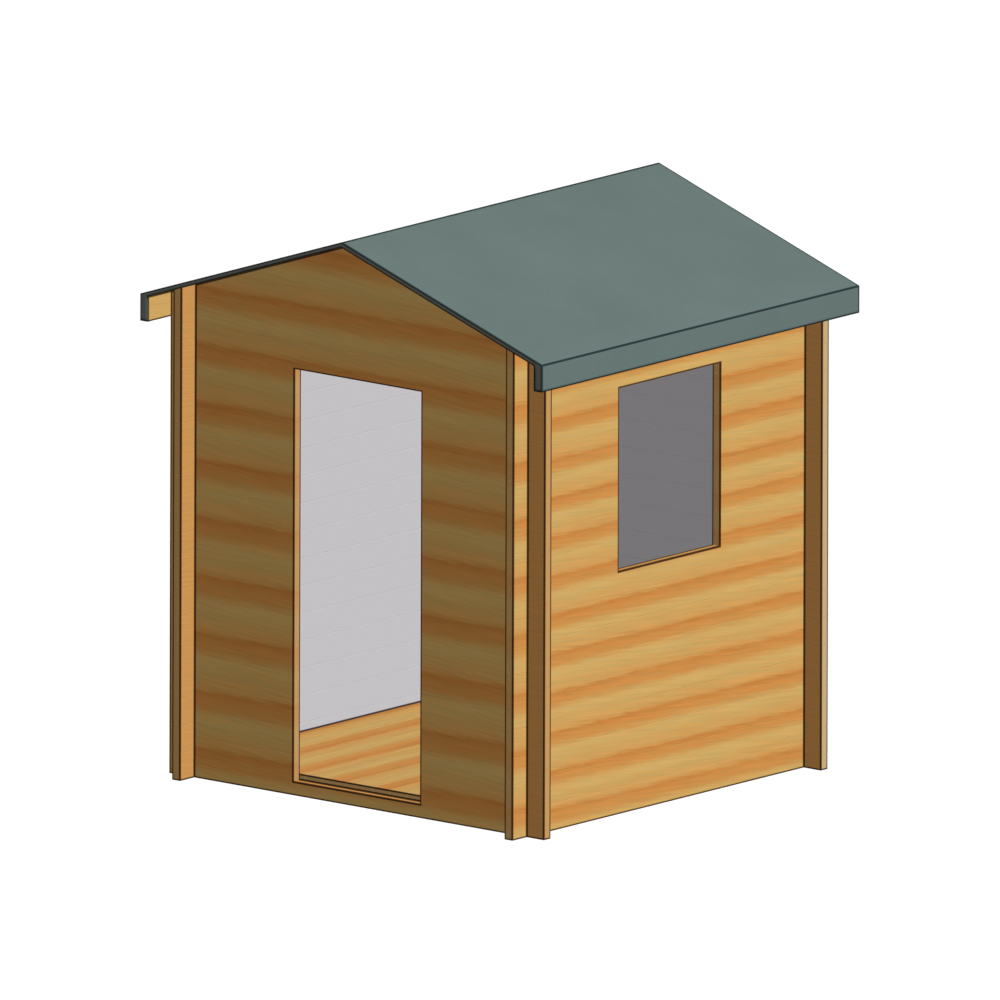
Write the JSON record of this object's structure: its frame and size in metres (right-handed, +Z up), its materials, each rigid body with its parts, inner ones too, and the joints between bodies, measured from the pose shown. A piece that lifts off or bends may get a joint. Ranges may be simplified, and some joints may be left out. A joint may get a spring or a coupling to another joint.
{
  "type": "garden log cabin",
  "caption": "Small apex-roof garden log cabin of interlocking planed logs, with an open doorway, a window opening, a boarded floor and a felted roof.",
  "frame": {"origin": "middle of the cabin on the ground, midway between the roof's edges", "axes": "+Z up, the doorway faces -Y, the window is in the wall on the +X side"},
  "size_m": [2.23, 2.12, 2.4822],
  "materials": {
    "log_timber": "planed softwood, oiled outside, grey inside",
    "roof_timber": "planed softwood",
    "floor_timber": "planed softwood boards",
    "roof_felt": "mineral-faced roofing felt, matt grey-green"
  },
  "bodies": {
    "root": {"front_starter_log": "log_timber", "front_left_odd_logs": "log_timber", "front_left_even_logs": "log_timber", "front_right_odd_logs": "log_timber", "front_right_even_logs": "log_timber", "front_lintel_log": "log_timber", "front_gable_odd_logs": "log_timber", "front_gable_even_logs": "log_timber", "back_starter_log": "log_timber", "back_odd_logs": "log_timber", "back_even_logs": "log_timber", "back_gable_odd_logs": "log_timber", "back_gable_even_logs": "log_timber", "left_odd_logs": "log_timber", "left_even_logs": "log_timber", "right_lower_odd_logs": "log_timber", "right_lower_even_logs": "log_timber", "right_sill_log": "log_timber", "right_front_odd_logs": "log_timber", "right_front_even_logs": "log_timber", "right_rear_odd_logs": "log_timber", "right_rear_even_logs": "log_timber", "right_head_log": "log_timber", "right_upper_odd_logs": "log_timber", "right_upper_even_logs": "log_timber", "ridge_beam": "roof_timber", "left_roof_boards": "roof_timber", "right_roof_boards": "roof_timber", "left_eaves_rail": "roof_timber", "right_eaves_rail": "roof_timber", "left_roof_felt": "roof_felt", "right_roof_felt": "roof_felt", "floor_boards": "floor_timber", "floor_bearers": "floor_timber"}
  },
  "joints": []
}
